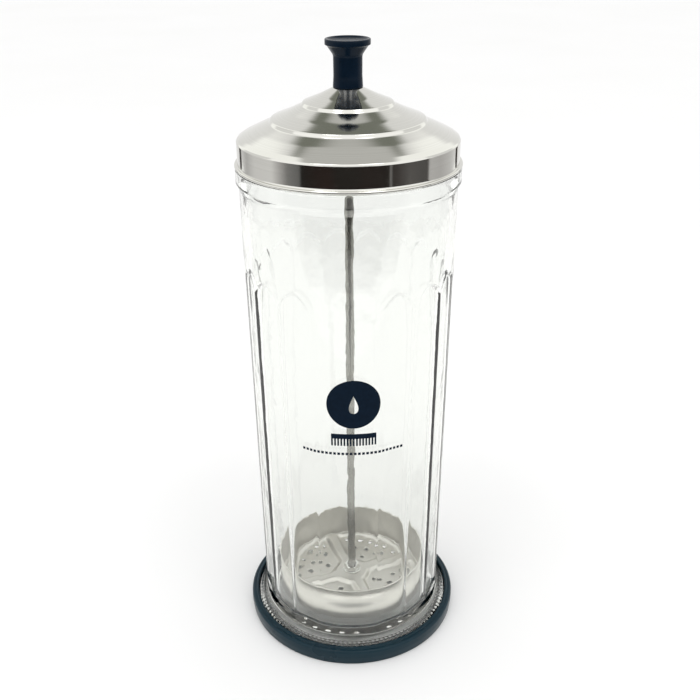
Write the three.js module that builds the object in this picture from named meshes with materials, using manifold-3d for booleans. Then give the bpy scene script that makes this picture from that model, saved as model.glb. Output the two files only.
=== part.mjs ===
// Disinfectant jar: a tall pressed-glass jar in a rubber base ring, closed by a stepped
// spun lid. A rod hangs from the lid's knob and carries a perforated tray near the floor,
// so that lifting the knob lifts the tools out of the liquid.
// Millimetres, +Z up. The origin is the centre of the base ring's underside, -Y is the front.

import * as THREE from 'three';
import { mergeVertices } from 'three/addons/utils/BufferGeometryUtils.js';
import Module from 'manifold-3d';

const wasm = await Module();
wasm.setup();

// Fits
const GAP = 0.3; // between pieces that rest on or sit in each other
const STACK_GAP = 0.1; // between the washers, nuts and sheets of one stack
const SIDES = 40; // sides of the large round pieces

// Base ring
const RING_R = 54.6;
const RING_SEAT_R = 51; // wall around the glass foot
const RING_HOLE_R = 42;
const RING_H = 8.3; // outer rim
const RING_LIP_H = 8.9; // thin lip against the glass
const RING_LIP_W = 1.2;
const RING_SEAT_H = 2.8; // ledge that the glass stands on

// Glass
const FOOT_PLAY = 0.45; // keeps the foot's corners clear of the flat sides of the ring's wall
const FOOT_R = RING_SEAT_R - FOOT_PLAY;
const FOOT_Z = RING_SEAT_H + GAP;
const FOOT_TOP_Z = 6; // the flare from the wall ends here
const PUSH_UP_R = 39.5;
const PUSH_UP_H = 5.5; // hollow in the underside
const WALL_FOOT_R = 46.1; // outside of the wall, just above the foot
const WALL_FOOT_Z = 12;
const WALL_TOP_R = 48.9; // outside of the wall, just under the bead
const WALL_TOP_Z = 233;
const BEAD_R = 50.2;
const BEAD_Z = 237.5;
const SHOULDER_Z = 242; // flat that the lid's hem rests on
const NECK_R = 47.3;
const MOUTH_Z = 251;
const MOUTH_R = 43.8;
const BORE_TOP_R = 45;
const BORE_FOOT_R = 42.2;
const FLOOR_Z = 13;
const FLOOR_CORNER_R = 5.5;

// Facets of the glass. They go round from one edge of a smooth label panel to the other;
// the panel is at the front. Angles run from the front, -Y, towards +X.
const FACETS = 16;
const FACET_COLUMNS = 2; // columns of the mesh to each facet
const PANEL_COLUMNS = 4;
const PANEL_START = THREE.MathUtils.degToRad(-20.2);
const PANEL_ANGLE = THREE.MathUtils.degToRad(36);
const FACET_ANGLE = (2 * Math.PI - PANEL_ANGLE) / FACETS;
const ARCH_SPRING_Z = 190; // top of a facet at its edges
const ARCH_RISE = 8; // how much higher it reaches at its middle
const ARCH_RUN_OUT = 2; // height over which the flat fades into the round wall
const FACET_FOOT_Z = 16;

// Lid
const SHEET = 0.7;
const LID_Z = SHOULDER_Z + GAP; // underside of the hem
const HEM_R = 50.35;
const HEM_H = 1.3;
const SKIRT_R = 48.95;
const SKIRT_FLARE_H = 3.1;
const LID_TOP_Z = 275;
const LID_TOP_R = 6.6;
const LID_HOLE_R = 2.5;

// Rod and its fasteners
const ROD_R = 2;
const ROD_SIDES = 24;
const ROD_FOOT_Z = 13.8;
const NUT_FLATS = 7;
const NUT_H = 3.2;
const THIN_NUT_H = 1.8;
const THREAD_GAP = 0.15;
const WASHER_R = 4.5;
const WASHER_H = 0.8;
const THIN_WASHER_H = 0.5;
const LID_PLAY = 0.3; // lets the rod turn in the lid

// Knob
const KNOB_Z = LID_TOP_Z + STACK_GAP;
const KNOB_TOP_Z = 295;
const KNOB_FLANGE_R = 9.75;
const KNOB_FLANGE_H = 2.1;
const KNOB_STEM_R = 6.3;
const KNOB_FLARE_Z = 286; // the stem begins to widen towards the flange
const KNOB_DISH_R = 8.9;
const KNOB_DISH_DEPTH = 1.1;
const INSERT_R = 3.2;
const INSERT_H = 11;
const INSERT_GROOVE_DEPTH = 0.4;
const INSERT_GROOVE_H = 1.6;

// Tray
const TRAY_R = 36.5;
const TRAY_Z = 14.7;
const TRAY_RIM_Z = 33.3;
const TRAY_BEAD_R = 0.55; // rolled rim
const TRAY_CORNER_R = 2;
const PRESSING = 1.8; // how far the cross stands above the lobes
const LOBE_IN_R = 9;
const LOBE_OUT_R = 32.3;
const SPOKE_HALF_W = 3;
const LOBES = 4;
const CROSS_ANGLE = (21 * Math.PI) / 180;
const DRAIN_R = 1.4;
const DRAIN_SIDES = 8;
const DRAIN_ROWS = [
  { radius: 28, degrees: [-28, -14, 0, 14, 28] },
  { radius: 21.5, degrees: [-20, 0, 20] },
  { radius: 14.5, degrees: [0] },
];

const finishes = {
  glass: { color: 0xeef3f0, roughness: 0.04, metalness: 0 },
  rubber: { color: 0x10181f, roughness: 0.45, metalness: 0 },
  steel: { color: 0xc9c9c4, roughness: 0.22, metalness: 1 },
  satinSteel: { color: 0xbdbcb4, roughness: 0.38, metalness: 1 },
  plastic: { color: 0x0b1726, roughness: 0.25, metalness: 0 },
  brass: { color: 0xb5924c, roughness: 0.35, metalness: 1 },
};

function namedMesh(name, geometry, finish) {
  const mesh = new THREE.Mesh(geometry, new THREE.MeshStandardMaterial(finishes[finish]));
  mesh.name = name;
  return mesh;
}

// A solid of revolution about +Z. The profile of [radius, height] pairs climbs the outside
// and comes down the inside; it either starts and ends on the axis or closes on itself.
function turned(profile, sides = SIDES) {
  const points = profile.map(([radius, height]) => new THREE.Vector2(radius, height));
  const geometry = new THREE.LatheGeometry(points, sides);
  geometry.rotateX(Math.PI / 2);
  return geometry;
}

// Points on a quarter turn, or less, of a circle about [radius, height].
function arc([radius, height], r, fromDegrees, toDegrees, steps) {
  const points = [];
  for (let i = 0; i <= steps; i += 1) {
    const angle = THREE.MathUtils.degToRad(fromDegrees + ((toDegrees - fromDegrees) * i) / steps);
    points.push([radius + r * Math.cos(angle), height + r * Math.sin(angle)]);
  }
  return points;
}

// A prism of a flat shape, from height z upwards.
function prism(shape, z, height, curveSegments = 1) {
  const geometry = new THREE.ExtrudeGeometry(shape, { depth: height, bevelEnabled: false, curveSegments });
  geometry.translate(0, 0, z);
  return geometry;
}

function toManifold(geometry) {
  const bare = geometry.clone();
  bare.deleteAttribute('normal');
  bare.deleteAttribute('uv');
  const merged = mergeVertices(bare, 1e-4);
  const vertProperties = new Float32Array(merged.attributes.position.array);
  const triVerts = new Uint32Array(merged.index.array);
  return new wasm.Manifold(new wasm.Mesh({ numProp: 3, vertProperties, triVerts }));
}

function toGeometry(manifold) {
  const { vertProperties, triVerts } = manifold.getMesh();
  const geometry = new THREE.BufferGeometry();
  geometry.setAttribute('position', new THREE.BufferAttribute(vertProperties, 3));
  geometry.setIndex(new THREE.BufferAttribute(triVerts, 1));
  geometry.computeVertexNormals();
  return geometry;
}

function lerp(a, b, t) {
  return a + (b - a) * t;
}

// Outside radius of the straight wall at a height, before its facets are cut.
function wallRadius(z) {
  return lerp(WALL_FOOT_R, WALL_TOP_R, (z - WALL_FOOT_Z) / (WALL_TOP_Z - WALL_FOOT_Z));
}

// Rubber ring of L section: the glass stands on its ledge, inside its wall.
function baseRing() {
  const lipR = RING_SEAT_R + RING_LIP_W;
  const profile = [
    [RING_HOLE_R, 0],
    [RING_R - 1.2, 0],
    [RING_R, 1.2],
    [RING_R, RING_H - 1.4],
    [RING_R - 0.4, RING_H - 0.4],
    [RING_R - 1.4, RING_H],
    [lipR + 0.5, RING_H],
    [lipR, RING_LIP_H - 0.3],
    [lipR - 0.4, RING_LIP_H],
    [RING_SEAT_R, RING_LIP_H],
    [RING_SEAT_R, RING_SEAT_H],
    [RING_HOLE_R, RING_SEAT_H],
    [RING_HOLE_R, 0],
  ];
  return namedMesh('base_ring', turned(profile), 'rubber');
}

// How far the flat of a facet lies inside the round wall, 0 at its edges and over the label
// panel. The flat ends in a rounded arch: it fades out over ARCH_RUN_OUT above a curve that
// rises to its middle. The angle is measured from the start of the panel.
function facetInset(radius, angle, z) {
  if (z < FACET_FOOT_Z || angle < PANEL_ANGLE) return 0;
  const fromMiddle = ((angle - PANEL_ANGLE) % FACET_ANGLE) - FACET_ANGLE / 2;
  const flatR = (radius * Math.cos(FACET_ANGLE / 2)) / Math.cos(fromMiddle);
  const archTop = ARCH_SPRING_Z + ARCH_RISE * Math.cos((fromMiddle / FACET_ANGLE) * Math.PI);
  const fade = THREE.MathUtils.clamp((archTop - z) / ARCH_RUN_OUT, 0, 1);
  return (radius - flatR) * fade;
}

// Angle from the start of the label panel of each column of the glass mesh.
function columnAngle(column) {
  if (column <= PANEL_COLUMNS) return (column * PANEL_ANGLE) / PANEL_COLUMNS;
  return PANEL_ANGLE + ((column - PANEL_COLUMNS) * FACET_ANGLE) / FACET_COLUMNS;
}

// Pressed-glass jar with a thick base, arched facets, a bead and a plain neck.
function glassJar() {
  const arches = [0, 0.25, 0.5, 0.75, 1].map((t) => lerp(ARCH_SPRING_Z - ARCH_RUN_OUT, ARCH_SPRING_Z + ARCH_RISE, t));
  const wall = [FACET_FOOT_Z - 1, FACET_FOOT_Z, ...arches];
  const cornerR = BORE_FOOT_R - FLOOR_CORNER_R;
  const profile = [
    [0, FOOT_Z + PUSH_UP_H],
    [PUSH_UP_R * 0.7, FOOT_Z + PUSH_UP_H * 0.85],
    [PUSH_UP_R, FOOT_Z + PUSH_UP_H * 0.25],
    [PUSH_UP_R + 2, FOOT_Z],
    [FOOT_R - 1.5, FOOT_Z],
    [FOOT_R, FOOT_Z + 1.5],
    [FOOT_R, FOOT_TOP_Z],
    [FOOT_R - 0.7, FOOT_TOP_Z + 2.2],
    [FOOT_R - 2.2, FOOT_TOP_Z + 4.2],
    [WALL_FOOT_R + 0.8, FOOT_TOP_Z + 6.4],
    ...wall.map((z) => [wallRadius(z), z]),
    [WALL_TOP_R - 0.2, WALL_TOP_Z],
    [lerp(WALL_TOP_R, BEAD_R, 0.6), WALL_TOP_Z + 2],
    [BEAD_R, BEAD_Z],
    [BEAD_R, SHOULDER_Z - 0.6],
    [BEAD_R - 0.6, SHOULDER_Z],
    [NECK_R, SHOULDER_Z],
    [NECK_R, MOUTH_Z - 1.2],
    [NECK_R - 1.2, MOUTH_Z],
    [MOUTH_R + 0.8, MOUTH_Z],
    [MOUTH_R, MOUTH_Z - 0.8],
    [MOUTH_R, SHOULDER_Z],
    [BORE_TOP_R, WALL_TOP_Z],
    ...arc([cornerR, FLOOR_Z + FLOOR_CORNER_R], FLOOR_CORNER_R, 0, -90, 4),
    [0, FLOOR_Z],
  ];
  const columns = PANEL_COLUMNS + FACETS * FACET_COLUMNS;
  const geometry = turned(profile, columns);
  const position = geometry.attributes.position;
  for (let i = 0; i < position.count; i += 1) {
    const z = position.getZ(i);
    const radius = Math.hypot(position.getX(i), position.getY(i));
    const column = Math.floor(i / profile.length) % columns;
    const angle = columnAngle(column);
    const onWall = radius > wallRadius(z) - 0.05 && z >= FACET_FOOT_Z - 0.5;
    const r = onWall ? radius - facetInset(radius, angle, z) : radius;
    position.setXYZ(i, r * Math.sin(PANEL_START + angle), -r * Math.cos(PANEL_START + angle), z);
  }
  return namedMesh('glass_jar', geometry, 'glass');
}

// Outer face of the lid from the hem to the hole: skirt, rounded shoulder and three tiers,
// each ending in a short steep step.
function lidOuterFace() {
  return [
    [HEM_R, LID_Z],
    [HEM_R, LID_Z + HEM_H],
    [SKIRT_R + 0.3, LID_Z + HEM_H + 0.9],
    [SKIRT_R, LID_Z + SKIRT_FLARE_H],
    ...arc([SKIRT_R - 3, 252.4], 3, 0, 62, 3),
    [43.7, 256.7],
    [34.6, 261],
    [34.2, 261.9],
    [33.4, 262.4],
    [27.5, 265],
    [20.6, 268],
    [20.1, 268.9],
    [19.2, 269.4],
    [13, 272],
    [LID_TOP_R, LID_TOP_Z],
    [LID_HOLE_R, LID_TOP_Z],
  ];
}

// Spun lid of even sheet with a folded hem. The inner face is the outer one, one sheet in.
function lidShell() {
  const outer = lidOuterFace();
  const inner = [
    [LID_HOLE_R, LID_TOP_Z - SHEET],
    [LID_TOP_R - 0.1, LID_TOP_Z - SHEET],
    [19, 268.6],
    [20, 267.4],
    [33.2, 261.7],
    [34.1, 260.3],
    [43.4, 256],
    ...arc([SKIRT_R - 3, 252.4], 3 - SHEET, 62, 0, 3),
    [SKIRT_R - SHEET, LID_Z],
  ];
  return namedMesh('lid_shell', turned([...outer, ...inner, outer[0]]), 'steel');
}

// Moulded knob: a waisted stem under a flange with a dished top, and a socket in its foot.
function knob() {
  const flangeZ = KNOB_TOP_Z - KNOB_FLANGE_H;
  const socketR = INSERT_R + STACK_GAP;
  const socketTopZ = KNOB_Z + INSERT_H + GAP;
  const profile = [
    [0, socketTopZ],
    [socketR, socketTopZ],
    [socketR, KNOB_Z],
    [KNOB_STEM_R + 0.2, KNOB_Z],
    [KNOB_STEM_R, KNOB_Z + 3],
    [KNOB_STEM_R, KNOB_FLARE_Z],
    [KNOB_STEM_R + 0.2, KNOB_FLARE_Z + 2],
    [KNOB_STEM_R + 0.9, KNOB_FLARE_Z + 4],
    [KNOB_FLANGE_R - 1.4, flangeZ - 0.6],
    [KNOB_FLANGE_R, flangeZ],
    [KNOB_FLANGE_R, KNOB_TOP_Z - 0.3],
    [KNOB_FLANGE_R - 0.3, KNOB_TOP_Z],
    [KNOB_DISH_R, KNOB_TOP_Z],
    [KNOB_DISH_R * 0.7, KNOB_TOP_Z - KNOB_DISH_DEPTH * 0.7],
    [0, KNOB_TOP_Z - KNOB_DISH_DEPTH],
  ];
  return namedMesh('knob', turned(profile, 36), 'plastic');
}

// Threaded brass insert in the knob's socket, with a groove that keys it in the moulding.
function knobInsert() {
  const boreR = ROD_R + THREAD_GAP;
  const foot = KNOB_Z + STACK_GAP;
  const middle = foot + INSERT_H / 2;
  const profile = [
    [boreR, foot],
    [INSERT_R, foot],
    [INSERT_R, middle - INSERT_GROOVE_H / 2],
    [INSERT_R - INSERT_GROOVE_DEPTH, middle - INSERT_GROOVE_H / 2],
    [INSERT_R - INSERT_GROOVE_DEPTH, middle + INSERT_GROOVE_H / 2],
    [INSERT_R, middle + INSERT_GROOVE_H / 2],
    [INSERT_R, foot + INSERT_H - STACK_GAP],
    [boreR, foot + INSERT_H - STACK_GAP],
    [boreR, foot],
  ];
  return namedMesh('knob_insert', turned(profile, ROD_SIDES), 'brass');
}

// Straight rod from the knob's insert to just under the tray.
function liftRod() {
  const top = KNOB_Z + INSERT_H;
  const chamfer = 0.5;
  const profile = [
    [0, ROD_FOOT_Z],
    [ROD_R - chamfer, ROD_FOOT_Z],
    [ROD_R, ROD_FOOT_Z + chamfer],
    [ROD_R, top - chamfer],
    [ROD_R - chamfer, top],
    [0, top],
  ];
  return namedMesh('lift_rod', turned(profile, ROD_SIDES), 'steel');
}

function washer(name, z, height, finish) {
  const profile = [
    [ROD_R + THREAD_GAP, z],
    [WASHER_R, z],
    [WASHER_R, z + height],
    [ROD_R + THREAD_GAP, z + height],
    [ROD_R + THREAD_GAP, z],
  ];
  return namedMesh(name, turned(profile, ROD_SIDES), finish);
}

// Hexagon nut: a six-sided prism bored for the rod.
function hexNut(name, z, height, finish) {
  const hexagon = new THREE.Shape();
  const cornerR = NUT_FLATS / 2 / Math.cos(Math.PI / 6);
  for (let i = 0; i < 6; i += 1) {
    const angle = (i * Math.PI) / 3;
    const corner = [cornerR * Math.cos(angle), cornerR * Math.sin(angle)];
    if (i === 0) hexagon.moveTo(...corner);
    else hexagon.lineTo(...corner);
  }
  hexagon.closePath();
  const bore = new THREE.Path();
  bore.absarc(0, 0, ROD_R + THREAD_GAP, 0, 2 * Math.PI, true);
  hexagon.holes.push(bore);
  return namedMesh(name, prism(hexagon, z, height, ROD_SIDES / 2), finish);
}

// One lobe of the pressed floor, grown outwards by a margin: a sector between the centre
// boss and the wall whose two sides run parallel to the spokes beside it.
function lobeShape(turn, margin) {
  const inR = LOBE_IN_R - margin;
  const outR = LOBE_OUT_R + margin;
  const half = SPOKE_HALF_W - margin;
  const inAngle = Math.PI / 4 - Math.asin(half / inR);
  const outAngle = Math.PI / 4 - Math.asin(half / outR);
  const shape = new THREE.Shape();
  shape.absarc(0, 0, outR, turn - outAngle, turn + outAngle, false);
  shape.absarc(0, 0, inR, turn + inAngle, turn - inAngle, true);
  shape.closePath();
  return shape;
}

function lobeTurn(i) {
  return CROSS_ANGLE + ((i + 0.5) * 2 * Math.PI) / LOBES;
}

// The four lobes as one solid between two heights.
function lobes(z, height, margin) {
  let solid = toManifold(prism(lobeShape(lobeTurn(0), margin), z, height, 8));
  for (let i = 1; i < LOBES; i += 1) {
    solid = solid.add(toManifold(prism(lobeShape(lobeTurn(i), margin), z, height, 8)));
  }
  return solid;
}

// All the drain holes as one solid that reaches through the floor.
function drains(z, height) {
  let solid = null;
  for (let i = 0; i < LOBES; i += 1) {
    for (const { radius, degrees } of DRAIN_ROWS) {
      for (const degree of degrees) {
        const angle = lobeTurn(i) + THREE.MathUtils.degToRad(degree);
        const hole = new THREE.CylinderGeometry(DRAIN_R, DRAIN_R, height, DRAIN_SIDES);
        hole.rotateX(Math.PI / 2);
        hole.translate(radius * Math.cos(angle), radius * Math.sin(angle), z + height / 2);
        solid = solid ? solid.add(toManifold(hole)) : toManifold(hole);
      }
    }
  }
  return solid;
}

// Pressed cup with a rolled rim. Its floor stands up as a cross with a centre boss, and
// the four lobes between the spokes are perforated.
function trayCup() {
  const lobeTopZ = TRAY_Z + SHEET;
  const crossTopZ = lobeTopZ + PRESSING;
  const insideR = TRAY_R - SHEET;
  const beadR = TRAY_R - TRAY_BEAD_R + 0.35;
  const outside = turned([
    [0, TRAY_Z],
    ...arc([TRAY_R - TRAY_CORNER_R, TRAY_Z + TRAY_CORNER_R], TRAY_CORNER_R, -90, 0, 3),
    [TRAY_R, TRAY_RIM_Z - 2 * TRAY_BEAD_R],
    ...arc([beadR, TRAY_RIM_Z - TRAY_BEAD_R], TRAY_BEAD_R, -45, 135, 4),
    [insideR, TRAY_RIM_Z - TRAY_BEAD_R],
    [insideR, crossTopZ],
    [0, crossTopZ],
  ]);
  const underside = turned([
    [0, TRAY_Z - 1],
    [LOBE_OUT_R - 1, TRAY_Z - 1],
    [LOBE_OUT_R - 1, crossTopZ - SHEET],
    [0, crossTopZ - SHEET],
  ]);
  const rodHole = turned([
    [0, TRAY_Z - 1],
    [ROD_R + GAP, TRAY_Z - 1],
    [ROD_R + GAP, crossTopZ + 1],
    [0, crossTopZ + 1],
  ], ROD_SIDES);
  const pocket = toManifold(underside).subtract(lobes(TRAY_Z - 2, PRESSING + 4, SHEET));
  const cup = toManifold(outside)
    .subtract(lobes(lobeTopZ, PRESSING + 1, 0))
    .subtract(pocket)
    .subtract(toManifold(rodHole))
    .subtract(drains(TRAY_Z - 1, PRESSING + 2));
  return namedMesh('tray_cup', toGeometry(cup), 'satinSteel');
}

const trayTopZ = TRAY_Z + SHEET + PRESSING;
const trayUnderZ = trayTopZ - SHEET;
const lidUnderZ = LID_TOP_Z - SHEET;
const lidWasherZ = lidUnderZ - LID_PLAY - WASHER_H;
const topWasherZ = trayTopZ + STACK_GAP;
const lowerWasherZ = trayUnderZ - STACK_GAP - THIN_WASHER_H;

const group = new THREE.Group();
group.add(
  baseRing(),
  glassJar(),
  lidShell(),
  knob(),
  knobInsert(),
  liftRod(),
  washer('lid_washer', lidWasherZ, WASHER_H, 'steel'),
  hexNut('lid_nut', lidWasherZ - STACK_GAP - NUT_H, NUT_H, 'steel'),
  trayCup(),
  washer('tray_top_washer', topWasherZ, WASHER_H, 'steel'),
  hexNut('tray_top_nut', topWasherZ + WASHER_H + STACK_GAP, NUT_H, 'steel'),
  washer('tray_lower_washer', lowerWasherZ, THIN_WASHER_H, 'steel'),
  hexNut('tray_lower_nut', lowerWasherZ - STACK_GAP - THIN_NUT_H, THIN_NUT_H, 'steel'),
);

export default group;
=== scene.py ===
import math

import bpy
import numpy as np
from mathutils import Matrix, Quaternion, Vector
from mathutils.geometry import delaunay_2d_cdt


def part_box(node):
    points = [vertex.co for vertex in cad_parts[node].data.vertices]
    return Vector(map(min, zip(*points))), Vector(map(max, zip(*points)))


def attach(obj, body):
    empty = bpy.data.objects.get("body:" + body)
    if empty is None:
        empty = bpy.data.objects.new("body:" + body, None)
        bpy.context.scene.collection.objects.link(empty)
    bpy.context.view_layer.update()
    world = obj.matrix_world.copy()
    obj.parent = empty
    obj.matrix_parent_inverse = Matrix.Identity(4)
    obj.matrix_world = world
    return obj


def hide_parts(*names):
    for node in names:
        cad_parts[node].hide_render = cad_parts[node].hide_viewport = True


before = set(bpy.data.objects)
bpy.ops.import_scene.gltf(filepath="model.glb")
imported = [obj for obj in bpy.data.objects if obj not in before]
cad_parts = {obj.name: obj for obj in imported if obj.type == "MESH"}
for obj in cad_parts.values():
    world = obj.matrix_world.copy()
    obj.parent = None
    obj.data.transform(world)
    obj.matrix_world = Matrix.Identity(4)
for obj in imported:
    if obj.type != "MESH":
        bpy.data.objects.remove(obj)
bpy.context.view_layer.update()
MM = 0.001


# ---------------------------------------------------------------------------------------
# Studio. A white laminate table in a white tent, with two soft lamps above the lid. The
# polished lid mirrors what hangs round it: the dark room that the tent opens on at the front,
# the tent's dark seams, and grey cloth overhead.
CAMERA_PLACE = (0, -0.4053, 0.3482)
CAMERA_PITCH = math.radians(26.06)
CAMERA_ROLL = -0.0077
CAMERA_LENS = 47.72
TABLE_FRONT, TABLE_HALF = -0.36, 0.7
AROUND_HALF = 6.0


def srgb(text):
    """Linear colour with alpha 1 of an sRGB hex text: each channel c becomes c / 12.92 below
    0.04045, and ((c + 0.055) / 1.055) to the power 2.4 above."""
    channels = np.array([int(text[i : i + 2], 16) / 255 for i in (1, 3, 5)])
    linear = np.where(channels <= 0.04045, channels / 12.92, ((channels + 0.055) / 1.055) ** 2.4)
    return (*linear.tolist(), 1.0)


def add(tree, kind, inputs=None, **settings):
    """A node with its settings. Each input is a value, or the socket that it is linked from."""
    made = tree.nodes.new(kind)
    for name, value in settings.items():
        setattr(made, name, value)
    for name, value in (inputs or {}).items():
        if isinstance(value, bpy.types.NodeSocket):
            tree.links.new(value, made.inputs[name])
        else:
            made.inputs[name].default_value = value
    return made


def material(name):
    """A new node material: its tree, its Principled BSDF and the Object coordinates."""
    made = bpy.data.materials.new(name)
    made.use_nodes = True
    tree = made.node_tree
    place = add(tree, "ShaderNodeTexCoord").outputs["Object"]
    return made, tree, tree.nodes["Principled BSDF"], place


def mesh_object(name, vertices, faces, finish):
    """An object at the origin with a smooth-shaded mesh. Edges sharper than 35 degrees stay
    sharp."""
    mesh = bpy.data.meshes.new(name)
    mesh.from_pydata(vertices.reshape(-1, 3), [], faces)
    mesh.shade_smooth()
    mesh.set_sharp_from_angle(angle=math.radians(35))
    mesh.materials.append(finish)
    made = bpy.data.objects.new(name, mesh)
    bpy.context.scene.collection.objects.link(made)
    return made


camera = bpy.data.objects.new("camera", bpy.data.cameras.new("camera"))
camera.data.lens = CAMERA_LENS
camera.data.sensor_width = 36
camera.data.clip_start = 0.01
camera.location = CAMERA_PLACE
camera.rotation_mode = "QUATERNION"
look_down = Quaternion((1, 0, 0), math.pi / 2 - CAMERA_PITCH)
camera.rotation_quaternion = look_down @ Quaternion((0, 0, 1), CAMERA_ROLL)
bpy.context.scene.collection.objects.link(camera)
bpy.context.scene.camera = camera
bpy.context.scene.view_settings.view_transform = "Standard"

# Matt white laminate: an even, nearly shadowless white, mottled very faintly over about 30 cm.
matt_white, tree, shader, place = material("matt_white_laminate")
mottle = add(tree, "ShaderNodeTexNoise", {"Vector": place, "Scale": 3.0, "Detail": 2.0})
tone = add(
    tree,
    "ShaderNodeMixRGB",
    {"Fac": mottle.outputs["Fac"], "Color1": srgb("#f4f4f3"), "Color2": srgb("#f8f8f8")},
)
tree.links.new(tone.outputs["Color"], shader.inputs["Base Color"])
shader.inputs["Roughness"].default_value = 0.9
shader.inputs["Specular IOR Level"].default_value = 0.1


def flat_top(half, front):
    """Corners of a level rectangle that reaches half to each side and to the back."""
    return np.array([(-half, front, 0), (half, front, 0), (half, half, 0), (-half, half, 0)])


# The floor round the table is seen directly, and hidden from the lid's mirror and the glass.
table_corners = flat_top(TABLE_HALF, TABLE_FRONT)
around_corners = np.vstack([table_corners, flat_top(AROUND_HALF, -AROUND_HALF)])
around_faces = [(4, 5, 1, 0), (5, 6, 2, 1), (6, 7, 3, 2), (7, 4, 0, 3)]
for name, corners, faces in (
    ("table", table_corners, [(0, 1, 2, 3)]),
    ("table_around", around_corners, around_faces),
):
    table_top = mesh_object(name, corners, faces, matt_white)
    table_top.visible_glossy = table_top.visible_transmission = name == "table"

world = bpy.data.worlds.new("tent")
bpy.context.scene.world = world
world.use_nodes = True
tree = world.node_tree
tree.nodes.clear()
world.cycles.sampling_method = "NONE"
direction = add(tree, "ShaderNodeTexCoord").outputs["Generated"]
axes = add(tree, "ShaderNodeSeparateXYZ", {"Vector": direction})
toward_x, toward_y, toward_z = (axes.outputs[axis] for axis in "XYZ")


def within(*bands):
    """1 in a patch of the tent, 0 outside it. Each band is a value, its low and high edge, and
    a width: the patch is the product of smooth steps that wide, outside all the edges."""
    inside = 1.0
    for value, low, high, soft in bands:
        for edge, outward in ((low, -soft), (high, soft)):
            inputs = {"Value": value, "From Min": edge + outward, "From Max": edge}
            step = add(tree, "ShaderNodeMapRange", inputs, interpolation_type="SMOOTHSTEP")
            inputs = {0: inside, 1: step.outputs["Result"]}
            inside = add(tree, "ShaderNodeMath", inputs, operation="MULTIPLY").outputs["Value"]
    return inside


# What the horizon shows all round the table, from the back over the left, the front and the
# right to the back again: degrees from the front towards +X, and brightness.
HORIZON = (
    (-180, 0.95),
    (-147.5, 0.88),
    (-146.5, 0.0),
    (-141, 0.0),
    (-140, 0.78),
    (-126, 0.56),
    (-110, 0.78),
    (-84, 0.82),
    (-73, 0.5),
    (-64, 0.24),
    (-50, 0.16),
    (-48.5, 0.014),
    (41.5, 0.018),
    (42.2, 0.24),
    (43.2, 0.24),
    (44, 0.03),
    (64, 0.11),
    (87, 0.09),
    (89, 0.6),
    (106, 0.55),
    (126, 0.68),
    (139.5, 0.88),
    (140.5, 0.0),
    (146, 0.0),
    (147, 0.98),
    (180, 0.95),
)
to_front = add(tree, "ShaderNodeMath", {0: toward_y, 1: -1.0}, operation="MULTIPLY")
inputs = {0: toward_x, 1: to_front.outputs["Value"]}
round_table = add(tree, "ShaderNodeMath", inputs, operation="ARCTAN2").outputs["Value"]
inputs = {"Value": round_table, "From Min": -math.pi, "From Max": math.pi}
turn = add(tree, "ShaderNodeMapRange", inputs)
horizon = add(tree, "ShaderNodeValToRGB", {"Fac": turn.outputs["Result"]})
stops = horizon.color_ramp.elements
for i, (degrees, value) in enumerate(HORIZON):
    at = degrees / 360 + 0.5
    # The ramp starts with two stops, which become the first and the last.
    at_end = i in (0, len(HORIZON) - 1)
    stop = stops[0 if i == 0 else len(stops) - 1] if at_end else stops.new(at)
    stop.position = at
    stop.color = (value, value, value, 1)

furniture = add(tree, "ShaderNodeTexNoise", {"Vector": direction, "Scale": 2.2, "Detail": 2.0})
dim = add(
    tree,
    "ShaderNodeMixRGB",
    {"Fac": furniture.outputs["Fac"], "Color1": srgb("#06110c"), "Color2": srgb("#2a130c")},
)
inputs = {"Fac": 1.0, "Color1": horizon.outputs["Color"], "Color2": dim.outputs["Color"]}
room = add(tree, "ShaderNodeMixRGB", inputs, blend_type="ADD")
sideways = add(tree, "ShaderNodeMath", {0: toward_x}, operation="ABSOLUTE").outputs["Value"]
# Patches of the tent, each laid over the ones before it: the lit front, the cloth behind the
# lid, the lit flanks, the grey cloth over the table, whoever stands at the front, and the room.
tent = srgb("#fbfbfa")
for patch_colour, bands in (
    ((1.35, 1.35, 1.34, 1.0), [(toward_y, -1.0, 0.02, 0.08)]),
    ((0.66, 0.66, 0.64, 1.0), [(toward_y, 0.1, 0.5, 0.06), (toward_x, -0.3, 0.3, 0.1)]),
    ((1.3, 1.31, 1.28, 1.0), [(toward_y, 0.3, 0.78, 0.08), (sideways, 0.38, 0.7, 0.07)]),
    ((0.23, 0.24, 0.205, 1.0), [(toward_y, 0.54, 0.635, 0.055), (toward_x, -0.26, 0.26, 0.07)]),
    ((0.06, 0.07, 0.09, 1.0), [(round_table, -0.42, 0.42, 0.08), (toward_z, 0.2, 0.55, 0.06)]),
    (room.outputs["Color"], [(toward_z, -0.38, -0.06, 0.03)]),
):
    inputs = {"Fac": within(*bands), "Color1": tent, "Color2": patch_colour}
    tent = add(tree, "ShaderNodeMixRGB", inputs).outputs["Color"]
# Only a mirrored ray sees the tent's patches. All other light is its plain white.
sees = add(tree, "ShaderNodeLightPath").outputs["Glossy Depth"]
mirrored = add(tree, "ShaderNodeMath", {0: sees, 1: 1.0}, operation="MINIMUM").outputs["Value"]
inputs = {"Fac": mirrored, "Color1": (1.06, 1.06, 1.06, 1.0), "Color2": tent}
shown = add(tree, "ShaderNodeMixRGB", inputs).outputs["Color"]
background = add(tree, "ShaderNodeBackground", {"Color": shown, "Strength": 1.0})
add(tree, "ShaderNodeOutputWorld", {"Surface": background.outputs["Background"]})

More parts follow.
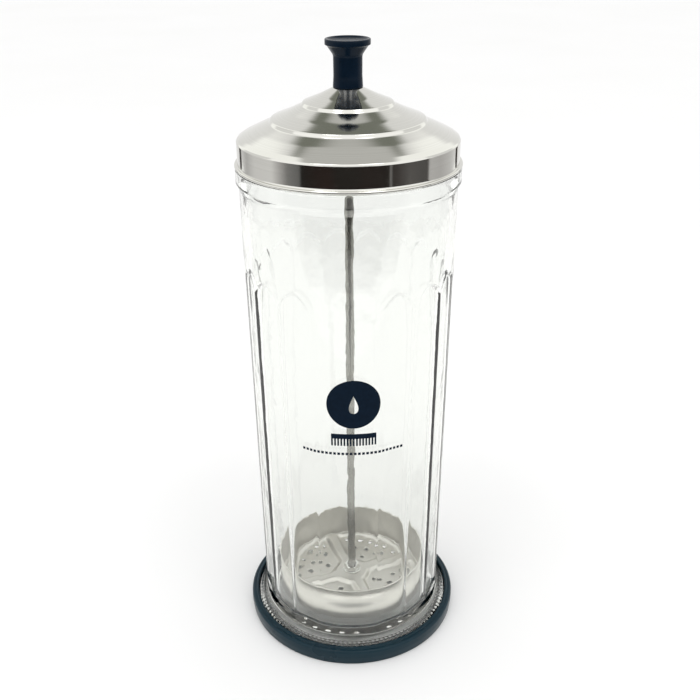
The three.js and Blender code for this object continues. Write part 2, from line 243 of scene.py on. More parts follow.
SOFTBOX_OUT, SOFTBOX_FRONT, SOFTBOX_UP = 0.3, -0.36, 1.2
SOFTBOX_SIDE, SOFTBOX_WATTS = 0.3, 1.2
LID_MIDDLE = 0.26
for name, out in (("overhead_left", -SOFTBOX_OUT), ("overhead_right", SOFTBOX_OUT)):
    light = bpy.data.lights.new(name, "AREA")
    light.shape = "RECTANGLE"
    light.size = light.size_y = SOFTBOX_SIDE
    light.energy = SOFTBOX_WATTS
    lamp = bpy.data.objects.new(name, light)
    lamp.location = (out, SOFTBOX_FRONT, SOFTBOX_UP)
    tilt = math.atan2(math.hypot(out, SOFTBOX_FRONT), SOFTBOX_UP - LID_MIDDLE)
    lamp.rotation_euler = (tilt, 0, math.atan2(out, -SOFTBOX_FRONT))
    bpy.context.scene.collection.objects.link(lamp)


# ---------------------------------------------------------------------------------------
# Base ring. A moulded ring of blue-black rubber, L-shaped in section, that the glass foot
# is pressed into. Its top has a rounded outer rim and a thin lip against the glass.
RING_R = 54.6
SEAT_R = 51.0
RING_HOLE_R = 42.0
RING_H = 8.3
RING_LIP_H = 8.9
SEAT_H = 2.8
RING_COLUMNS = 360


def filleted(corners, steps=6, closed=False):
    """Profile [radius, height] through corners [radius, height, fillet]. An arc of that fillet
    replaces each corner c: with unit vectors a and b to its neighbours, at an angle t, it is
    centred at fillet / sin(t / 2) along a + b, and turns evenly from one tangent point to the
    other. In a closed profile the first and last corners are neighbours too."""
    corners = np.array(corners, float)
    points = []
    for i, (r, z, fillet) in enumerate(corners):
        c = np.array([r, z])
        if fillet == 0 or (not closed and i in (0, len(corners) - 1)):
            points.append(c[None])
            continue
        a, b = (corners[j % len(corners), :2] - c for j in (i - 1, i + 1))
        a, b = a / np.linalg.norm(a), b / np.linalg.norm(b)
        half = math.acos(np.clip(a @ b, -1, 1)) / 2
        centre = c + (a + b) / np.linalg.norm(a + b) * fillet / math.sin(half)
        start, end = (c + v * fillet / math.tan(half) - centre for v in (a, b))
        turn = math.pi - 2 * half
        s = np.linspace(0, 1, steps + 1)[:, None]
        arc = np.sin((1 - s) * turn) * start + np.sin(s * turn) * end
        points.append(centre + arc / math.sin(turn))
    return np.vstack(points)


def rings(profile, angles, radius=None):
    """Points [ring, column, xyz] in metres of a profile in mm carried round the axis. The angle
    runs from the front, -Y, towards +X. radius gives a radius for each ring and column."""
    r = profile[:, :1] + 0 * angles if radius is None else radius
    z = profile[:, 1:] + 0 * angles
    return np.stack([r * np.sin(angles), -r * np.cos(angles), z], 2) * MM


def ring_faces(count, columns, closed):
    """Faces between neighbouring rings of points. In a closed profile the last ring joins the
    first; otherwise the first and last rings are one point each, on the axis."""
    if closed:
        i, j = np.arange(count)[:, None], np.arange(columns)[None, :]
        k, n = (i + 1) % count, (j + 1) % columns
        quads = np.stack([i * columns + j, i * columns + n, k * columns + n, k * columns + j], 2)
        return quads.reshape(-1, 4).tolist()
    last = 1 + (count - 2) * columns
    at = np.arange(1, last).reshape(count - 2, columns)
    after = np.roll(at, -1, 1)
    quads = np.stack([at[:-1], after[:-1], after[1:], at[1:]], 2).reshape(-1, 4)
    foot = np.stack([0 * at[0], after[0], at[0]], 1)
    head = np.stack([at[-1], after[-1], 0 * at[-1] + last], 1)
    return quads.tolist() + foot.tolist() + head.tolist()


def ring_solid(name, points, finish, closed=True):
    """Solid whose skin runs through rings of points, counter-clockwise seen from above and
    climbing the outside."""
    count, columns = points.shape[:2]
    vertices = points.reshape(-1, 3)
    if not closed:
        vertices = np.vstack([points[0, :1], points[1:-1].reshape(-1, 3), points[-1, :1]])
    return mesh_object(name, vertices, ring_faces(count, columns, closed), finish)


def around(columns):
    """Angles of evenly spaced columns, once round the axis, as a row."""
    return np.linspace(0, 2 * math.pi, columns, endpoint=False)[None, :]


# Moulded rubber: the mould was blasted, so the skin is semi-matt, with a fine grain of about
# 0.6 mm, and handling leaves slightly shinier patches a few centimetres wide.
rubber, tree, shader, place = material("moulded_rubber")
patches = add(tree, "ShaderNodeTexNoise", {"Vector": place, "Scale": 45.0, "Detail": 3.0})
grain = add(tree, "ShaderNodeTexNoise", {"Vector": place, "Scale": 1600.0, "Detail": 2.0})
tone = add(
    tree,
    "ShaderNodeMixRGB",
    {"Fac": patches.outputs["Fac"], "Color1": srgb("#0a212b"), "Color2": srgb("#132f3a")},
)
inputs = {"Value": patches.outputs["Fac"], "To Min": 0.22, "To Max": 0.36}
gloss = add(tree, "ShaderNodeMapRange", inputs)
inputs = {"Height": grain.outputs["Fac"], "Strength": 0.25, "Distance": 0.03 * MM}
bump = add(tree, "ShaderNodeBump", inputs)
tree.links.new(tone.outputs["Color"], shader.inputs["Base Color"])
tree.links.new(gloss.outputs["Result"], shader.inputs["Roughness"])
tree.links.new(bump.outputs["Normal"], shader.inputs["Normal"])
shader.inputs["IOR"].default_value = 1.5
shader.inputs["Specular IOR Level"].default_value = 0.18

ring_profile = filleted(
    [
        (RING_HOLE_R, 0, 0.3),
        (RING_R - 0.4, 0, 0.8),
        (RING_R, RING_H * 0.5, 6),
        (RING_R, RING_H, 1.3),
        (52.3, RING_H - 0.2, 0.4),
        (52.1, RING_LIP_H, 0.35),
        (SEAT_R, RING_LIP_H, 0.3),
        (SEAT_R, SEAT_H, 0.4),
        (RING_HOLE_R, SEAT_H, 0.4),
    ],
    closed=True,
)
ring = ring_solid("rubber_ring", rings(ring_profile, around(RING_COLUMNS)), rubber)
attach(ring, "jar")
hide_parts("base_ring")


# ---------------------------------------------------------------------------------------
# Glass jar. Pressed soda-lime glass, slightly wider at the top so that it leaves the mould: a
# flared foot, hollow underneath and standing on two rings of moulded stipples, sixteen flat
# facets that end in arches, a bead and a plain neck.
FACETS = 16
PANEL_START = math.radians(-20.2)
PANEL = math.radians(36)
FACET = (2 * math.pi - PANEL) / FACETS
RIDGE_ROUND = 0.06
FACET_FOOT, FACET_RUN = 15.5, 3.5
ARCH_SPRING = 190
ARCH_RISE = 8
ARCH_RUN = 2.2
BASE_Z = 3.3
WALL_FOOT = (46.1, 12)
WALL_TOP = (48.9, 233)
STIPPLES = 120
STIPPLE_RINGS = (43.2, 44.9)
STIPPLE_R, STIPPLE_H = 0.8, 0.3
GLASS_COLUMNS = 600
BORE_BLUR = 4


def wall_radius(z):
    """Outside radius of the wall at a height, before the facets: a straight line between its
    foot and its top."""
    return np.interp(z, (WALL_FOOT[1], WALL_TOP[1]), (WALL_FOOT[0], WALL_TOP[0]))


def facet_depth(r, angles):
    """Depth of the flats inside the round wall. In a facet whose middle is m away, the flat is
    at r cos(facet / 2) / cos(m), and the next flat at the same over cos(facet - m); their soft
    minimum rounds the ridge. The label panel, at the front, stays round."""
    past_panel = (angles - PANEL_START) % (2 * math.pi) - PANEL
    m = np.abs(past_panel % FACET - FACET / 2)
    flat = r * math.cos(FACET / 2)
    near, next_one = flat / np.cos(m), flat / np.cos(FACET - m)
    soft = near - RIDGE_ROUND * np.log1p(np.exp((near - next_one) / RIDGE_ROUND))
    return np.where(past_panel < 0, 0, r - soft)


def faceted(r, z, angles):
    """Radius of the outside at a height and angle. Each flat fades out at its foot, and towards
    its arch, which rises to its middle as a half cosine."""
    m = np.abs(((angles - PANEL_START) % (2 * math.pi) - PANEL) % FACET - FACET / 2)
    top = ARCH_SPRING + ARCH_RISE * np.cos(m / FACET * math.pi)
    t = np.clip((top - z) / ARCH_RUN, 0, 1) * np.clip((z - FACET_FOOT) / FACET_RUN, 0, 1)
    return r - facet_depth(r, angles) * t * t * (3 - 2 * t)


# Soda-lime glass, fire-polished: clear with a breath of green, refracting at 1.52. The mould
# leaves ripples about 15 mm long, and fainter ones of 4 mm, so what shows through it wavers.
glass, tree, shader, place = material("pressed_soda_lime_glass")
stretch = add(tree, "ShaderNodeMapping", {"Vector": place, "Scale": (1.0, 1.0, 0.8)})
stretched = stretch.outputs["Vector"]
slow = add(tree, "ShaderNodeTexNoise", {"Vector": stretched, "Scale": 70.0, "Detail": 1.0})
quick = add(tree, "ShaderNodeTexNoise", {"Vector": stretched, "Scale": 260.0, "Detail": 1.0})
inputs = {0: quick.outputs["Fac"], 1: 0.2, 2: slow.outputs["Fac"]}
ripples = add(tree, "ShaderNodeMath", inputs, operation="MULTIPLY_ADD")
inputs = {"Height": ripples.outputs["Value"], "Strength": 1.0, "Distance": 0.18 * MM}
bump = add(tree, "ShaderNodeBump", inputs)
tree.links.new(bump.outputs["Normal"], shader.inputs["Normal"])
shader.inputs["Base Color"].default_value = srgb("#fafbf9")
shader.inputs["Roughness"].default_value = 0.0
shader.inputs["IOR"].default_value = 1.52
shader.inputs["Transmission Weight"].default_value = 1.0

hollow = filleted(
    [(0, 8.6, 0), (28, 7.6, 20), (39.3, 4.4, 4), (41.6, BASE_Z, 0.8), (42.0, BASE_Z, 0)],
    steps=4,
)
bearing_r = np.arange(42.2, 46.1, 0.26)
bearing = np.stack([bearing_r, 0 * bearing_r + BASE_Z], 1)
flare = filleted(
    [
        (49.1, BASE_Z, 0),
        (49.4, BASE_Z, 0.2),
        (50.5, 4.5, 1.2),
        (50.5, 6.5, 1),
        (49.9, 7.6, 2),
        (48.0, 9.6, 3),
        (46.5, 12.0, 5),
        (46.15, 15.4, 0),
    ],
    steps=4,
)
foot = np.vstack([hollow, bearing, flare])
wall_z = np.concatenate(
    [np.arange(15.8, 20, 0.7), np.linspace(20, 184, 8), np.arange(186, 200.5, 0.75)]
)
wall = np.stack([wall_radius(wall_z), wall_z], 1)
top = filleted(
    [
        (48.7, 205, 0),
        (48.75, 232.9, 0.4),
        (50.2, 236, 1.2),
        (50.2, 242, 0.8),
        (47.3, 242, 0.4),
        (47.3, 251, 1.3),
        (43.8, 251, 1.0),
        (43.8, 240, 6),
        (45.0, 232, 6),
        (44.63, 202, 0),
        (44.56, 196, 0),
        (44.48, 190, 0),
        (44.41, 184, 0),
        (44.34, 178, 0),
        (44.27, 172, 0),
        (42.5, 30, 0),
        (42.45, 26, 0),
        (42.42, 22, 0),
        (42.36, 19, 0),
        (42.3, 16.5, 3.0),
        (41.0, 13, 3.0),
        (30, 13, 0),
        (0, 13, 0),
    ],
    steps=4,
)
glass_profile = np.vstack([foot, wall, top])
angles = around(GLASS_COLUMNS)
glass_r = glass_profile[:, :1] + 0 * angles
glass_z = glass_profile[:, 1:] + 0 * angles
at = np.arange(len(glass_profile))
outside = (at >= len(foot)) & (at < len(foot) + len(wall))
glass_r[outside] = faceted(glass_r[outside], glass_z[outside], angles)
# The bore follows the flats softly: the same depth, averaged twice over nine columns, fading
# out at its floor and under the neck.
bore = (at >= len(foot) + len(wall)) & (glass_profile[:, 0] < 46)
follow = facet_depth(glass_r[bore], angles)
beside = range(-BORE_BLUR, BORE_BLUR + 1)
for _ in range(2):
    follow = sum(np.roll(follow, k, 1) for k in beside) / len(beside)
rise = np.clip((204 - glass_z[bore]) / 30, 0, 1) * np.clip((glass_z[bore] - 14) / 14, 0, 1)
glass_r[bore] -= follow * rise * rise * (3 - 2 * rise)
points = rings(glass_profile, angles, glass_r)
# Each stipple is the cap of a dome, on the flat ring that the foot stands on.
dots = 0
for i, ring_r in enumerate(STIPPLE_RINGS):
    pitch = (angles * STIPPLES / (2 * math.pi) + i / 2) % 1 - 0.5
    from_dot = np.hypot(glass_r - ring_r, pitch * 2 * math.pi * ring_r / STIPPLES) / STIPPLE_R
    dome = np.sqrt(np.clip(1 - from_dot**2, 0, 1)) * STIPPLE_H
    dots = dots + dome * (glass_z < BASE_Z + 0.1)
points[:, :, 2] -= dots * MM
jar = ring_solid("pressed_glass_jar", points, glass, closed=False)
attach(jar, "jar")
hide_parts("glass_jar")


# ---------------------------------------------------------------------------------------
# Printed mark. One pass of dark blue ceramic ink, screen-printed on the glass and fired: a
# disc with a clear drop, a comb under it and a row of short dashes. It names nothing.
INK_LIFT = 0.03


def on_glass(across, up):
    """Points on the outside of the wall, in metres: across mm round the wall from the front,
    at height up mm, lifted by the thickness of the ink."""
    r = wall_radius(up)
    angle = across / r
    r = faceted(r, up, angle) + INK_LIFT
    return np.stack([r * np.sin(angle), -r * np.cos(angle), up + 0 * r], -1) * MM


def patch(points):
    """Vertices and faces of an open grid of points [row, column, xyz]."""
    rows, columns = points.shape[:2]
    at = np.arange(rows * columns).reshape(rows, columns)
    faces = np.stack([at[:-1, :-1], at[:-1, 1:], at[1:, 1:], at[1:, :-1]], 2).reshape(-1, 4)
    return points.reshape(-1, 3), faces


# Fired ceramic ink: an opaque blue-black glaze, less glossy than the glass. Its density and
# its surface vary over about 2 mm, where the screen printed thinner.
ink, tree, shader, place = material("fired_ceramic_ink")
density = add(tree, "ShaderNodeTexNoise", {"Vector": place, "Scale": 500.0, "Detail": 3.0})
tone = add(
    tree,
    "ShaderNodeMixRGB",
    {"Fac": density.outputs["Fac"], "Color1": srgb("#03101d"), "Color2": srgb("#0a1b2c")},
)
inputs = {"Height": density.outputs["Fac"], "Strength": 0.2, "Distance": 0.01 * MM}
bump = add(tree, "ShaderNodeBump", inputs)
tree.links.new(tone.outputs["Color"], shader.inputs["Base Color"])
tree.links.new(bump.outputs["Normal"], shader.inputs["Normal"])
shader.inputs["Roughness"].default_value = 0.3
shader.inputs["Specular IOR Level"].default_value = 0.06

# The disc runs from the edge of the drop, r = 3 sin t sin(t / 2)^1.5 across and 4.6 cos t up,
# straight out to its own edge.
MARK_X = 1.4
DISC_Z, DISC_R = 146.3, 12.2
DROP_W, DROP_H = 3.0, 4.6
turns = np.linspace(0, 2 * math.pi, 121)[:, None]
spread = np.linspace(0, 1, 12)[None, :]
drop_x = DROP_W * np.sin(turns) * np.sin(turns / 2) ** 1.5
drop_z = DROP_H * np.cos(turns)
disc_x = MARK_X + drop_x + (DISC_R * np.sin(turns) - drop_x) * spread
disc_z = DISC_Z + drop_z + (DISC_R * np.cos(turns) - drop_z) * spread
shapes = [patch(on_glass(disc_x, disc_z)[::-1])]


def bar(x0, x1, z0, z1):
    """A rectangle of ink from (x0, z0) to (x1, z1), in steps of half a millimetre across and
    two up."""
    x = np.linspace(x0, x1, max(2, int((x1 - x0) * 2) + 1))
    z = np.linspace(z0, z1, max(2, int((z1 - z0) / 2) + 2))
    return patch(on_glass(*np.meshgrid(MARK_X + x, z)))


COMB_W, COMB_TOP, COMB_SPINE, COMB_FOOT = 20.6, 131.2, 128.6, 124.9
TEETH, TOOTH_W = 15, 0.8
shapes.append(bar(-COMB_W / 2, COMB_W / 2, COMB_SPINE, COMB_TOP))
for i in range(TEETH):
    tooth = -COMB_W / 2 + i * (COMB_W - TOOTH_W) / (TEETH - 1)
    shapes.append(bar(tooth, tooth + TOOTH_W, COMB_FOOT, COMB_SPINE))
DASHES, DASH_ROW_W, DASH_W, DASH_FOOT, DASH_TOP = 26, 49.0, 1.25, 120.0, 121.3
for i in range(DASHES):
    dash = -DASH_ROW_W / 2 + i * DASH_ROW_W / DASHES
    shapes.append(bar(dash, dash + DASH_W, DASH_FOOT, DASH_TOP))
first_points = np.cumsum([0] + [len(v) for v, _ in shapes])
vertices = np.vstack([v for v, _ in shapes])
faces = np.vstack([f + first for (_, f), first in zip(shapes, first_points)])
mark = mesh_object("printed_mark", vertices, faces.tolist(), ink)
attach(mark, "jar")


# ---------------------------------------------------------------------------------------
# Tray. A deep-drawn stainless cup with a rolled rim. The press raised a cross with a centre
# boss in its floor, and pierced the four lobes between the spokes so that they drain.
SHEET = 0.7
TRAY_R = 36.5
TRAY_FOOT = 14.7
TRAY_RIM = 33.3
PRESSING = 1.8
LOBES = 4
CROSS_TURN = math.radians(21)
LOBE_IN, LOBE_OUT, SPOKE_HALF = 9.0, 32.3, 3.0
DRAIN_R, ROD_HOLE_R = 1.4, 2.3
HOLE_SIDES = 20
DRAIN_ROWS = ((28, (-28, -14, 0, 14, 28)), (21.5, (-20, 0, 20)), (14.5, (0,)))
FLOOR_R = 33.4
ROLL_R = 0.45
TRAY_COLUMNS = 240


def pressed_floor(x, y):
    """Height of the sheet's upper face in the floor, in mm. d is how deep a point lies inside
    its lobe: the soft minimum of its distances to the boss, the wall side and the spokes. The
    sheet drops by the pressing over the first 2.4 mm of d."""
    r = np.hypot(x, y)
    from_middle = np.abs((np.arctan2(y, x) - CROSS_TURN) % (math.pi / 2) - math.pi / 4)
    sides = r * np.sin(math.pi / 4 - from_middle) - SPOKE_HALF
    parts = np.stack([r - LOBE_IN, LOBE_OUT - r, sides])
    d = -np.log(np.exp(-np.clip(parts, -30, 30)).sum(0))
    t = np.clip((d + 1.2) / 2.4, 0, 1)
    return TRAY_FOOT + SHEET + PRESSING * (1 - t * t * (3 - 2 * t))


def drain_centres():
    """Centres of the drain holes: the same rows in each lobe, turned by a quarter each."""
    middles = CROSS_TURN + (np.arange(LOBES) + 0.5) * 2 * math.pi / LOBES
    rows = [(r, math.radians(d)) for r, degrees in DRAIN_ROWS for d in degrees]
    return np.array([(r * math.cos(m + a), r * math.sin(m + a)) for m in middles for r, a in rows])


# Drawn stainless steel, left satin by the press: a bright, slightly warm grey with a soft,
# blurred reflection, faint draw lines about 1 mm apart up the wall, and clouding 15 mm wide.
satin_steel, tree, shader, place = material("drawn_satin_stainless")
lines = add(tree, "ShaderNodeMapping", {"Vector": place, "Scale": (900.0, 900.0, 40.0)})
inputs = {"Vector": lines.outputs["Vector"], "Scale": 1.0, "Detail": 2.0}
drawn = add(tree, "ShaderNodeTexNoise", inputs)
cloud = add(tree, "ShaderNodeTexNoise", {"Vector": place, "Scale": 60.0, "Detail": 3.0})
tone = add(
    tree,
    "ShaderNodeMixRGB",
    {"Fac": cloud.outputs["Fac"], "Color1": srgb("#d9d7d1"), "Color2": srgb("#e7e5df")},
)
inputs = {"Value": cloud.outputs["Fac"], "To Min": 0.34, "To Max": 0.46}
gloss = add(tree, "ShaderNodeMapRange", inputs)
inputs = {"Height": drawn.outputs["Fac"], "Strength": 0.15, "Distance": 0.02 * MM}
bump = add(tree, "ShaderNodeBump", inputs)
tree.links.new(tone.outputs["Color"], shader.inputs["Base Color"])
tree.links.new(gloss.outputs["Result"], shader.inputs["Roughness"])
tree.links.new(bump.outputs["Normal"], shader.inputs["Normal"])
shader.inputs["Metallic"].default_value = 1.0

# The floor is a plan of triangles between its round edge, the drain holes and the rod hole,
# over a staggered grid. It is then lifted to the pressed shape.
ring_angles = around(TRAY_COLUMNS)[0]
edge = np.stack([FLOOR_R * np.sin(ring_angles), -FLOOR_R * np.cos(ring_angles)], 1)
hole_turns = around(HOLE_SIDES)[0]
hole_ring = DRAIN_R * np.stack([np.cos(hole_turns), np.sin(hole_turns)], 1)
centres = drain_centres()
hole_edges = (centres[:, None] + hole_ring[None]).reshape(-1, 2)
rod_hole = ROD_HOLE_R / DRAIN_R * hole_ring
gx, gy = np.meshgrid(np.arange(-FLOOR_R, FLOOR_R, 0.75), np.arange(-FLOOR_R, FLOOR_R, 0.65))
gx[::2] += 0.375
inner = np.stack([gx.ravel(), gy.ravel()], 1)
clear = np.linalg.norm(inner[:, None] - centres[None], axis=2).min(1) > DRAIN_R + 0.35
r = np.linalg.norm(inner, axis=1)
inner = inner[clear & (r < FLOOR_R - 0.5) & (r > ROD_HOLE_R + 0.4)]
plan = np.vstack([edge, rod_hole, hole_edges, inner])


def loop(start, count):
    """Edges that close a run of numbered points into a loop."""
    at = start + np.arange(count)
    return np.stack([at, np.roll(at, -1)], 1).tolist()


edges = loop(0, TRAY_COLUMNS)
for i in range(len(centres) + 1):
    edges += loop(TRAY_COLUMNS + HOLE_SIDES * i, HOLE_SIDES)
flat, _, triangles, *_ = delaunay_2d_cdt([tuple(p) for p in plan], edges, [], 0, 1e-6)
flat = np.array([tuple(p) for p in flat])
triangles = np.array([t for t in triangles if len(t) == 3])
middle = flat[triangles].mean(1)
middle_r = np.linalg.norm(middle, axis=1)
open_here = np.linalg.norm(middle[:, None] - centres[None], axis=2).min(1) < DRAIN_R * 0.97
open_here |= (middle_r < ROD_HOLE_R - 0.05) | (middle_r > FLOOR_R)
triangles = triangles[~open_here]
a, b, c = (flat[triangles[:, i]] for i in range(3))
turned = ((b - a)[:, 0] * (c - a)[:, 1] - (b - a)[:, 1] * (c - a)[:, 0]) < 0
triangles[turned] = triangles[turned][:, ::-1]
floor = np.column_stack([flat, pressed_floor(flat[:, 0], flat[:, 1])]) * MM
side = filleted(
    [
        (FLOOR_R, TRAY_FOOT + SHEET + PRESSING, 0),
        (34.5, TRAY_FOOT + SHEET, 0.6),
        (TRAY_R - SHEET, TRAY_FOOT + SHEET, 0.7),
        (TRAY_R - SHEET, TRAY_RIM - ROLL_R, 0),
    ]
)
roll = np.linspace(math.pi, -math.pi * 0.55, 12)
rim_r = TRAY_R - SHEET + ROLL_R + ROLL_R * np.cos(roll)
rim = np.stack([rim_r, TRAY_RIM - ROLL_R + ROLL_R * np.sin(roll)], 1)
side = np.vstack([side, rim[1:]])
side[0, 1] = pressed_floor(np.array([FLOOR_R]), np.array([0.0]))[0]
cup = rings(side, ring_angles[None])
rows = len(side)
at = len(floor) + np.arange(rows * TRAY_COLUMNS).reshape(rows, TRAY_COLUMNS)
after = np.roll(at, -1, 1)
wall_faces = np.stack([at[:-1], after[:-1], after[1:], at[1:]], 2).reshape(-1, 4)[:, ::-1]
vertices = np.vstack([floor, cup.reshape(-1, 3)])
tray = mesh_object("tray", vertices, triangles.tolist() + wall_faces.tolist(), satin_steel)
weld = tray.modifiers.new("weld", "WELD")
weld.merge_threshold = 0.02 * MM
thick = tray.modifiers.new("sheet", "SOLIDIFY")
thick.thickness = SHEET * MM
thick.offset = -1
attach(tray, "insert")
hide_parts("tray_cup")


# ---------------------------------------------------------------------------------------
# Rod and fasteners. A drawn 4 mm stainless rod with a thread rolled on each end, and turned
# stainless nuts and washers: two pairs clamp the tray, one keeps the lid on under the knob.
ROD_R = 2.0
ROD_FOOT, ROD_TOP = 13.8, 286.1
FOOT_THREAD_TOP, TOP_THREAD_FOOT = 25, 263
THREAD_PITCH = 0.7
THREAD_DEPTH = 0.3

# Drawn rod: bright stainless with faint lengthwise die lines. They are drawn about 0.7 mm
# apart, coarser than real.
rod_steel, tree, shader, place = material("drawn_bright_stainless")
lines = add(tree, "ShaderNodeMapping", {"Vector": place, "Scale": (1500.0, 1500.0, 12.0)})
inputs = {"Vector": lines.outputs["Vector"], "Scale": 1.0, "Detail": 2.0}
drawn = add(tree, "ShaderNodeTexNoise", inputs)
tone = add(
    tree,
    "ShaderNodeMixRGB",
    {"Fac": drawn.outputs["Fac"], "Color1": srgb("#8a8984"), "Color2": srgb("#aaa9a4")},
)
inputs = {"Height": drawn.outputs["Fac"], "Strength": 0.2, "Distance": 0.02 * MM}
bump = add(tree, "ShaderNodeBump", inputs)
tree.links.new(tone.outputs["Color"], shader.inputs["Base Color"])
tree.links.new(bump.outputs["Normal"], shader.inputs["Normal"])
shader.inputs["Metallic"].default_value = 1.0
shader.inputs["Roughness"].default_value = 0.24


def threaded(z, angles, low, high):
    """Depth of a rolled thread at a height and angle: a rounded V, half of one less the cosine
    of 2 pi z / pitch less the angle, between two heights, fading out over one pitch."""
    wave = 0.5 - 0.5 * np.cos(2 * math.pi * (z / THREAD_PITCH) - angles)
    inside = np.clip((z - low) / THREAD_PITCH, 0, 1) * np.clip((high - z) / THREAD_PITCH, 0, 1)
    return THREAD_DEPTH * wave * inside


# The plain middle of the rod takes few rings, and each thread one every 0.1 mm.
rod_z = np.concatenate(
    [
        [ROD_FOOT],
        np.arange(ROD_FOOT, 26, 0.1),
        np.linspace(26, 262, 30),
        np.arange(262.1, ROD_TOP, 0.1),
        [ROD_TOP, ROD_TOP],
    ]
)
rod_r = np.full(len(rod_z), ROD_R)
rod_r[[0, -1]] = 0
rod_r[[1, -2]] = ROD_R - 0.4
angles = around(32)
depth = threaded(rod_z[:, None], angles, ROD_FOOT, FOOT_THREAD_TOP)
depth = depth + threaded(rod_z[:, None], angles, TOP_THREAD_FOOT, ROD_TOP + 5)
cut_r = np.clip(rod_r[:, None] - depth * (rod_r[:, None] > 0), 0, None)
points = rings(np.stack([rod_r, rod_z], 1), angles, cut_r)
rod = ring_solid("lift_rod_drawn", points, rod_steel, closed=False)
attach(rod, "insert")
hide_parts("lift_rod")

# Turned nuts and washers: bright, mirror-like faces, dulled in specks about 1 mm wide where
# the tool and the spanner touched them.
turned_steel, tree, shader, place = material("turned_bright_stainless")
specks = add(tree, "ShaderNodeTexNoise", {"Vector": place, "Scale": 900.0, "Detail": 2.0})
tone = add(
    tree,
    "ShaderNodeMixRGB",
    {"Fac": specks.outputs["Fac"], "Color1": srgb("#cfcfcc"), "Color2": srgb("#e4e4e2")},
)
inputs = {"Value": specks.outputs["Fac"], "To Min": 0.1, "To Max": 0.22}
gloss = add(tree, "ShaderNodeMapRange", inputs)
tree.links.new(tone.outputs["Color"], shader.inputs["Base Color"])
tree.links.new(gloss.outputs["Result"], shader.inputs["Roughness"])
shader.inputs["Metallic"].default_value = 1.0


def hardware(name, points):
    """A nut or washer of turned steel that rides on the rod and stands for its CAD node."""
    made = ring_solid(name + "_turned", points, turned_steel)
    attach(made, "insert")
    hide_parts(name)


BORE_R, WASHER_R = 2.15, 4.5
for name in ("tray_top_washer", "tray_lower_washer", "lid_washer"):
    low, high = (corner.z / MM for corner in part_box(name))
    section = [(BORE_R, low, 0.05), (WASHER_R, low, 0.1)]
    section += [(WASHER_R, high, 0.15), (BORE_R, high, 0.05)]
    hardware(name, rings(filleted(section, closed=True), around(72)))

# Each nut is a turned blank, chamfered at its faces and its bore, cut by six flats: at m from
# the nearest corner, a flat is at half its width over cos(30 degrees - m).
NUT_FLATS, NUT_CORNER_R, NUT_FACE_R, NUT_MOUTH_R = 7.0, 4.1, 3.45, 2.5
for name in ("tray_top_nut", "tray_lower_nut", "lid_nut"):
    low, high = (corner.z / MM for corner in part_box(name))
    lower_half = [(BORE_R, low + 0.3, 0), (NUT_MOUTH_R, low, 0)]
    lower_half += [(NUT_FACE_R, low, 0.1), (NUT_CORNER_R, low + 0.36, 0.05)]
    upper_half = [(r, low + high - z, fillet) for r, z, fillet in lower_half[::-1]]
    section = filleted(lower_half + upper_half, closed=True)
    angles = around(144)
    m = np.abs(angles % (math.pi / 3) - math.pi / 6)
    hexagon = NUT_FLATS / 2 / np.cos(math.pi / 6 - m)
    hardware(name, rings(section, angles, np.minimum(section[:, :1], hexagon)))


# ---------------------------------------------------------------------------------------
# Lid. One disc of stainless sheet spun over a former: three tiers that each end in a small
# step, a rounded shoulder, a straight skirt and a folded hem that rests on the glass.
LID_Z = 242.3
LID_TOP = 275.0
LID_COLUMNS = 240
LID_STEP = 0.8

# Spun and buffed stainless: a near-mirror with fine turning marks that run round the axis
# about 0.8 mm apart, drawn a little coarser than real, and faint buffing clouds 3 cm wide.
spun_steel, tree, shader, place = material("spun_buffed_stainless")
inputs = {0: place, 1: (1.0, 1.0, 0.0)}
level = add(tree, "ShaderNodeVectorMath", inputs, operation="MULTIPLY")
reach = add(tree, "ShaderNodeVectorMath", {0: level.outputs["Vector"]}, operation="LENGTH")
height = add(tree, "ShaderNodeSeparateXYZ", {"Vector": place})
inputs = {0: reach.outputs["Value"], 1: height.outputs["Z"]}
along = add(tree, "ShaderNodeMath", inputs, operation="SUBTRACT")
inputs = {"W": along.outputs["Value"], "Scale": 1300.0, "Detail": 3.0}
marks = add(tree, "ShaderNodeTexNoise", inputs, noise_dimensions="1D")
buffing = add(tree, "ShaderNodeTexNoise", {"Vector": place, "Scale": 35.0, "Detail": 3.0})
tone = add(
    tree,
    "ShaderNodeMixRGB",
    {"Fac": marks.outputs["Fac"], "Color1": srgb("#cac9c3"), "Color2": srgb("#dad9d4")},
)
inputs = {"Value": buffing.outputs["Fac"], "To Min": 0.05, "To Max": 0.11}
gloss = add(tree, "ShaderNodeMapRange", inputs)
inputs = {"Height": marks.outputs["Fac"], "Strength": 0.04, "Distance": 0.02 * MM}
bump = add(tree, "ShaderNodeBump", inputs)
tree.links.new(tone.outputs["Color"], shader.inputs["Base Color"])
tree.links.new(gloss.outputs["Result"], shader.inputs["Roughness"])
tree.links.new(bump.outputs["Normal"], shader.inputs["Normal"])
shader.inputs["Metallic"].default_value = 1.0

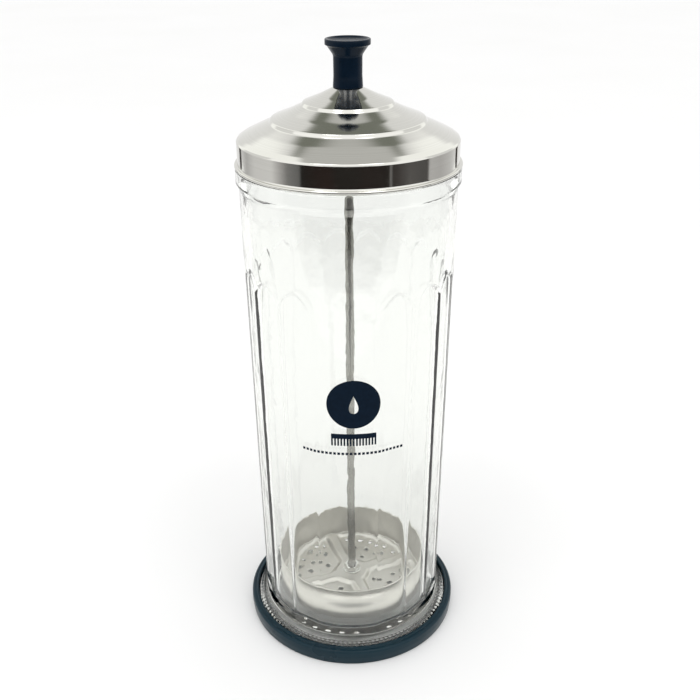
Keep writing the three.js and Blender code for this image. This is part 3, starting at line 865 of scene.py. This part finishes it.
lid_profile = filleted(
    [
        (48.3, LID_Z, 0.2),
        (50.35, LID_Z, 0.5),
        (50.35, 243.55, 0.55),
        (49.05, 243.6, 0.2),
        (48.95, 244.3, 0.3),
        (48.95, 253.4, 0.4),
        (48.45, 254.15, 0.5),
        (46.3, 255.5, 4),
        (40.0, 258.5, 30),
        (34.5, 260.9, 0.8),
        (33.7, 262.3, 0.6),
        (26.8, 265.0, 40),
        (20.4, 268.0, 0.6),
        (19.5, 269.3, 0.5),
        (13.0, 271.9, 30),
        (6.6, LID_TOP, 0.6),
        (2.5, LID_TOP, 0),
        (2.5, LID_TOP - SHEET, 0),
        (6.4, LID_TOP - SHEET, 0.6),
        (19.2, 268.7, 0.5),
        (20.0, 267.4, 0.6),
        (33.2, 261.7, 0.6),
        (34.0, 260.3, 0.6),
        (46.0, 254.8, 3),
        (48.3, 252.8, 1.0),
    ],
    steps=8,
    closed=True,
)
# Straight runs of the section are split about every 0.8 mm, so the mirror stays even.
gaps = np.linalg.norm(np.roll(lid_profile, -1, 0) - lid_profile, axis=1)
reached = np.concatenate([[0], np.cumsum(gaps)])
splits = [
    np.linspace(start, end, max(1, round((end - start) / LID_STEP)), endpoint=False)
    for start, end in zip(reached, reached[1:])
]
even = np.concatenate(splits)
lid_profile = np.stack(
    [np.interp(even, reached, np.append(axis, axis[0])) for axis in lid_profile.T], 1
)
lid = ring_solid("spun_lid", rings(lid_profile, around(LID_COLUMNS)), spun_steel)
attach(lid, "lid")
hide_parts("lid_shell")


# ---------------------------------------------------------------------------------------
# Knob. Compression-moulded blue-black plastic: a waisted stem under a dished flange. A brass
# insert, moulded into its foot, takes the rod's thread.
KNOB_FOOT, KNOB_TOP = 275.1, 295.0
KNOB_R, STEM_R, SOCKET_R = 9.75, 6.2, 3.3
KNOB_COLUMNS = 180

# Moulded plastic: deep blue-black with a clear gloss, rubbed duller by fingers in marks about
# 6 mm wide.
moulded, tree, shader, place = material("moulded_glossy_plastic")
rubs = add(tree, "ShaderNodeTexNoise", {"Vector": place, "Scale": 160.0, "Detail": 4.0})
tone = add(
    tree,
    "ShaderNodeMixRGB",
    {"Fac": rubs.outputs["Fac"], "Color1": srgb("#03101c"), "Color2": srgb("#091a2a")},
)
inputs = {"Value": rubs.outputs["Fac"], "To Min": 0.16, "To Max": 0.3}
gloss = add(tree, "ShaderNodeMapRange", inputs)
tree.links.new(tone.outputs["Color"], shader.inputs["Base Color"])
tree.links.new(gloss.outputs["Result"], shader.inputs["Roughness"])
shader.inputs["IOR"].default_value = 1.5
shader.inputs["Specular IOR Level"].default_value = 0.12

knob_profile = filleted(
    [
        (0, 286.4, 0),
        (SOCKET_R, 286.4, 0.2),
        (SOCKET_R, KNOB_FOOT, 0.2),
        (6.5, KNOB_FOOT, 0.4),
        (STEM_R, 280, 20),
        (STEM_R + 0.05, 288.4, 3),
        (8.9, 292.2, 1.2),
        (KNOB_R, 292.6, 0.3),
        (KNOB_R, KNOB_TOP, 0.45),
        (9.0, KNOB_TOP, 0.3),
        (7.4, 294.1, 3),
        (0, 293.7, 0),
    ],
    steps=8,
)
knob = ring_solid("moulded_knob", rings(knob_profile, around(KNOB_COLUMNS)), moulded, closed=False)
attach(knob, "insert")
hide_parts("knob")

# Turned brass: warm yellow with a dull shine, tarnished a little darker in spots 1.5 mm wide.
brass, tree, shader, place = material("turned_brass")
tarnish = add(tree, "ShaderNodeTexNoise", {"Vector": place, "Scale": 700.0, "Detail": 2.0})
tone = add(
    tree,
    "ShaderNodeMixRGB",
    {"Fac": tarnish.outputs["Fac"], "Color1": srgb("#b08a45"), "Color2": srgb("#c9a760")},
)
tree.links.new(tone.outputs["Color"], shader.inputs["Base Color"])
shader.inputs["Metallic"].default_value = 1.0
shader.inputs["Roughness"].default_value = 0.3
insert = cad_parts["knob_insert"]
insert.data.materials.clear()
insert.data.materials.append(brass)
